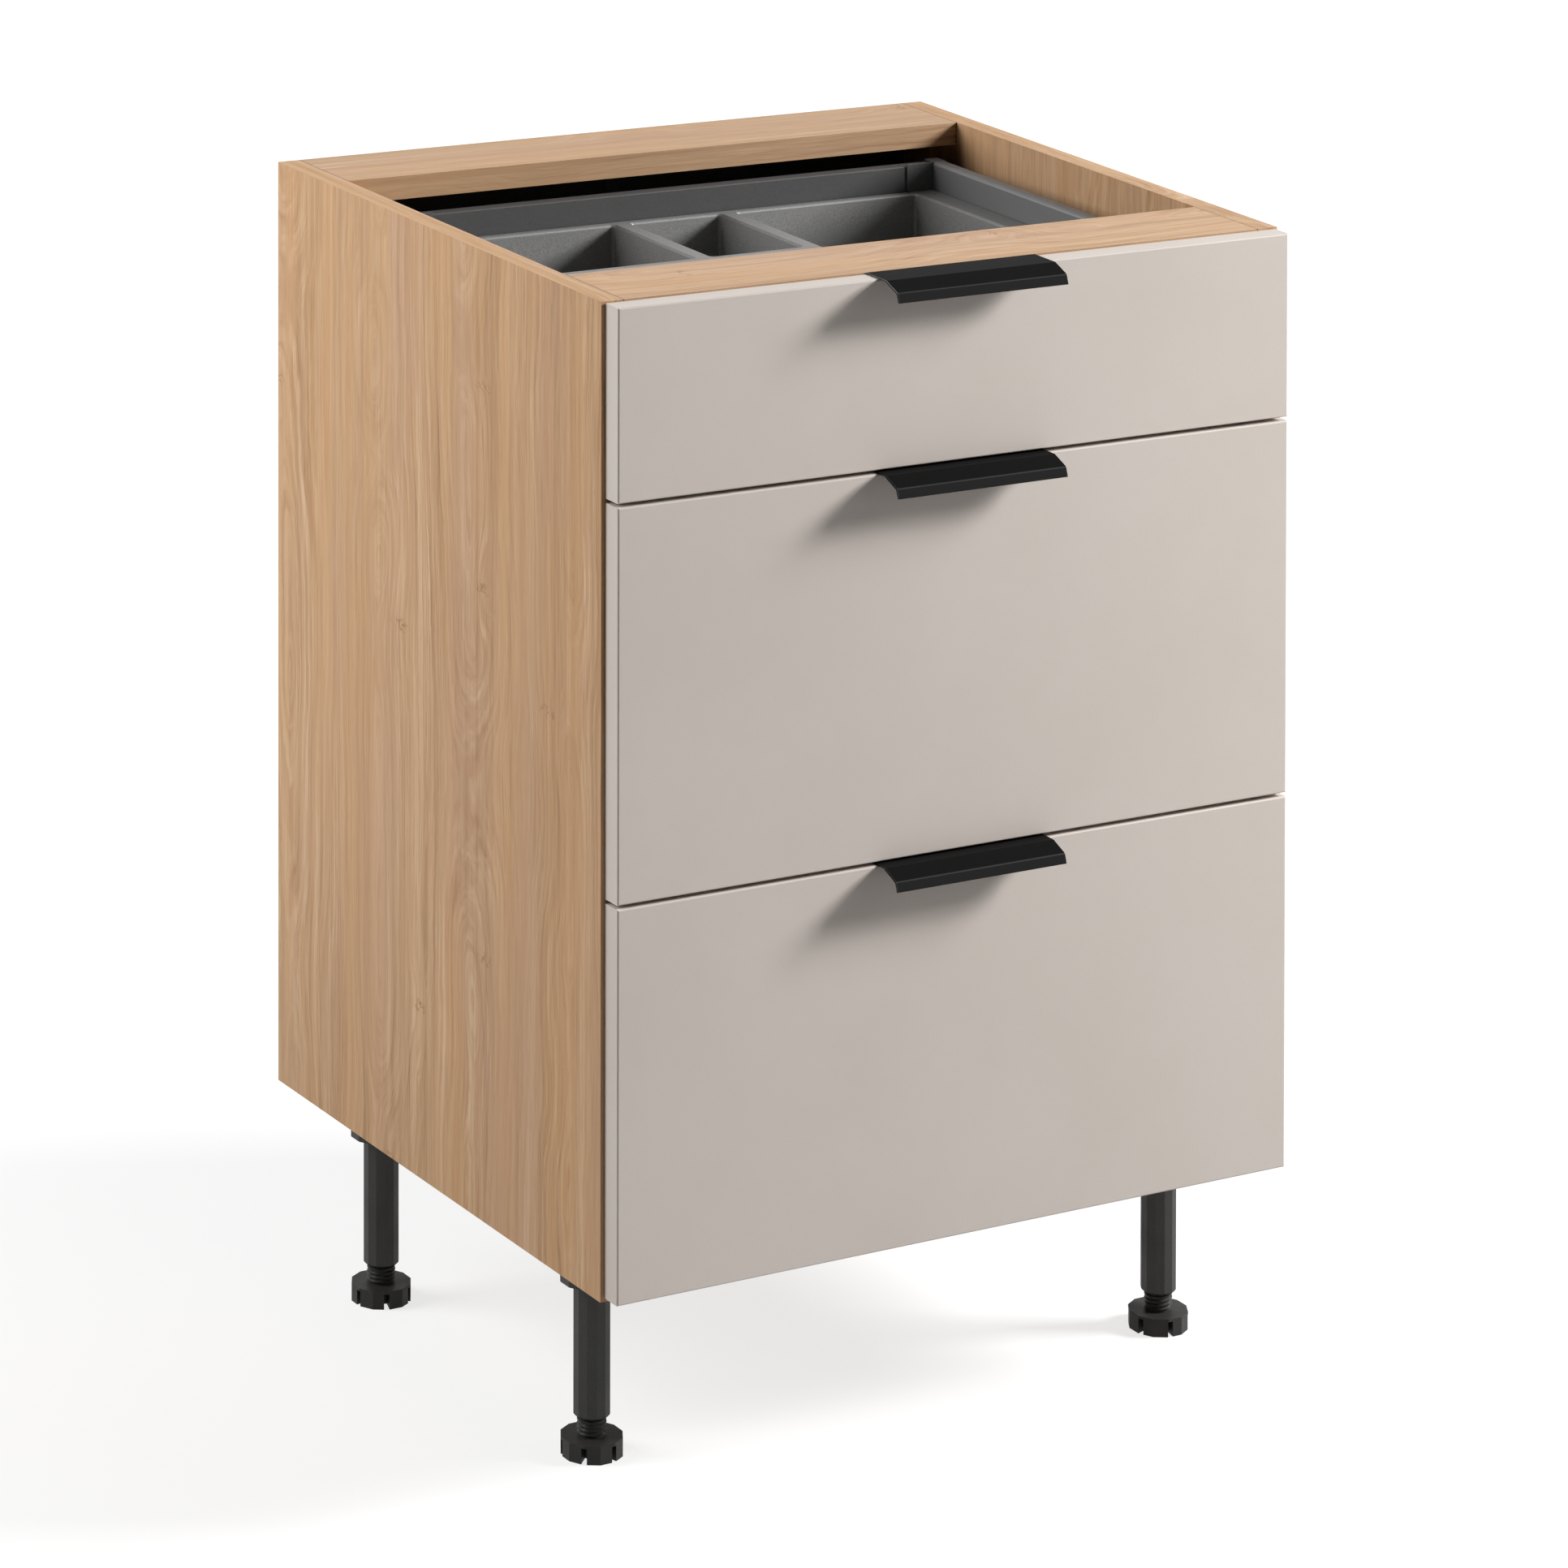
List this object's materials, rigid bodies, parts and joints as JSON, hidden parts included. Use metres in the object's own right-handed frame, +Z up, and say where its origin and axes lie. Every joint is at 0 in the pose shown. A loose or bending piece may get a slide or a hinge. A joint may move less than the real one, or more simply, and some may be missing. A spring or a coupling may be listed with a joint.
{
  "type": "kitchen base cabinet",
  "caption": "Kitchen base cabinet with drawers on hidden runners, top-edge pull handles, a cutlery tray and height-adjustable legs, open between the top rails.",
  "frame": {"origin": "on the floor, in the middle of the overall box (handle lips to back edge)", "axes": "+Z up, +X towards the cabinet's right as seen from the front, +Y from the drawer fronts to the back"},
  "size_m": [0.6, 0.5322, 0.87],
  "materials": {
    "oak_board": "light oak decor on chipboard, satin, straight and cathedral grain",
    "greige_front": "greige satin-matt lacquer on fibreboard, edges softly rounded",
    "black_hardboard": "matt black hardboard",
    "grey_board": "mid-grey foil on chipboard, satin",
    "grey_metal": "mid-grey powder coat, satin",
    "runner_steel": "zinc-plated sheet steel",
    "fastener_steel": "zinc-plated",
    "black_handle": "black satin anodised",
    "black_plastic": "charcoal moulded, satin",
    "grey_plastic": "mid-grey moulded",
    "tray_plastic": "mid-grey moulded with a fine pebble grain",
    "beech": "bare beech"
  },
  "bodies": {
    "carcass": {"side_left": "oak_board", "side_right": "oak_board", "bottom_panel": "oak_board", "rail_front": "oak_board", "rail_back": "oak_board", "back_panel_left": "black_hardboard", "back_panel_right": "black_hardboard", "back_joint_strip": "black_plastic", "back_screws": "fastener_steel", "dowels": "beech", "cam_housings": "fastener_steel", "cam_bolts": "fastener_steel", "leg_sockets": "black_plastic", "leg_socket_screws": "fastener_steel", "leg_tube_front_left": "black_plastic", "leg_tube_front_right": "black_plastic", "leg_tube_back_left": "black_plastic", "leg_tube_back_right": "black_plastic", "cabinet_runners_top": "runner_steel", "cabinet_runners_middle": "runner_steel", "cabinet_runners_bottom": "runner_steel", "runner_screws": "fastener_steel"},
    "foot_front_left": {"foot_front_left": "black_plastic"},
    "foot_front_right": {"foot_front_right": "black_plastic"},
    "foot_back_left": {"foot_back_left": "black_plastic"},
    "foot_back_right": {"foot_back_right": "black_plastic"},
    "sliding_runners_top": {"sliding_runners_top": "runner_steel"},
    "drawer_top": {"front_top": "greige_front", "handle_top": "black_handle", "handle_screws_top": "fastener_steel", "side_profile_left_top": "grey_metal", "side_profile_right_top": "grey_metal", "drawer_back_top": "grey_board", "drawer_base_top": "grey_board", "front_brackets_top": "grey_plastic", "corner_brackets_top": "grey_plastic", "cutlery_tray": "tray_plastic"},
    "sliding_runners_middle": {"sliding_runners_middle": "runner_steel"},
    "drawer_middle": {"front_middle": "greige_front", "handle_middle": "black_handle", "handle_screws_middle": "fastener_steel", "side_profile_left_middle": "grey_metal", "side_profile_right_middle": "grey_metal", "drawer_back_middle": "grey_board", "drawer_base_middle": "grey_board", "front_brackets_middle": "grey_plastic", "corner_brackets_middle": "grey_plastic", "gallery_rods_middle": "grey_metal"},
    "sliding_runners_bottom": {"sliding_runners_bottom": "runner_steel"},
    "drawer_bottom": {"front_bottom": "greige_front", "handle_bottom": "black_handle", "handle_screws_bottom": "fastener_steel", "side_profile_left_bottom": "grey_metal", "side_profile_right_bottom": "grey_metal", "drawer_back_bottom": "grey_board", "drawer_base_bottom": "grey_board", "front_brackets_bottom": "grey_plastic", "corner_brackets_bottom": "grey_plastic", "gallery_rods_bottom": "grey_metal"}
  },
  "joints": [
    {"name": "foot_front_left_height", "type": "slide", "parent": "carcass", "child": "foot_front_left", "axis": [0, 0, -1], "range_m": [-0.01, 0.02]},
    {"name": "foot_front_right_height", "type": "slide", "parent": "carcass", "child": "foot_front_right", "axis": [0, 0, -1], "range_m": [-0.01, 0.02]},
    {"name": "foot_back_left_height", "type": "slide", "parent": "carcass", "child": "foot_back_left", "axis": [0, 0, -1], "range_m": [-0.01, 0.02]},
    {"name": "foot_back_right_height", "type": "slide", "parent": "carcass", "child": "foot_back_right", "axis": [0, 0, -1], "range_m": [-0.01, 0.02]},
    {"name": "drawer_top_slide", "type": "slide", "parent": "carcass", "child": "drawer_top", "axis": [0, -1, 0], "range_m": [0, 0.39]},
    {"name": "runners_top_slide", "type": "slide", "parent": "carcass", "child": "sliding_runners_top", "axis": [0, -1, 0], "range_m": [0, 0.195]},
    {"name": "drawer_middle_slide", "type": "slide", "parent": "carcass", "child": "drawer_middle", "axis": [0, -1, 0], "range_m": [0, 0.39]},
    {"name": "runners_middle_slide", "type": "slide", "parent": "carcass", "child": "sliding_runners_middle", "axis": [0, -1, 0], "range_m": [0, 0.195]},
    {"name": "drawer_bottom_slide", "type": "slide", "parent": "carcass", "child": "drawer_bottom", "axis": [0, -1, 0], "range_m": [0, 0.39]},
    {"name": "runners_bottom_slide", "type": "slide", "parent": "carcass", "child": "sliding_runners_bottom", "axis": [0, -1, 0], "range_m": [0, 0.195]}
  ],
  "couplings": [
    {"joint": "runners_top_slide", "follows": "drawer_top_slide", "ratio": 0.5},
    {"joint": "runners_middle_slide", "follows": "drawer_middle_slide", "ratio": 0.5},
    {"joint": "runners_bottom_slide", "follows": "drawer_bottom_slide", "ratio": 0.5}
  ]
}
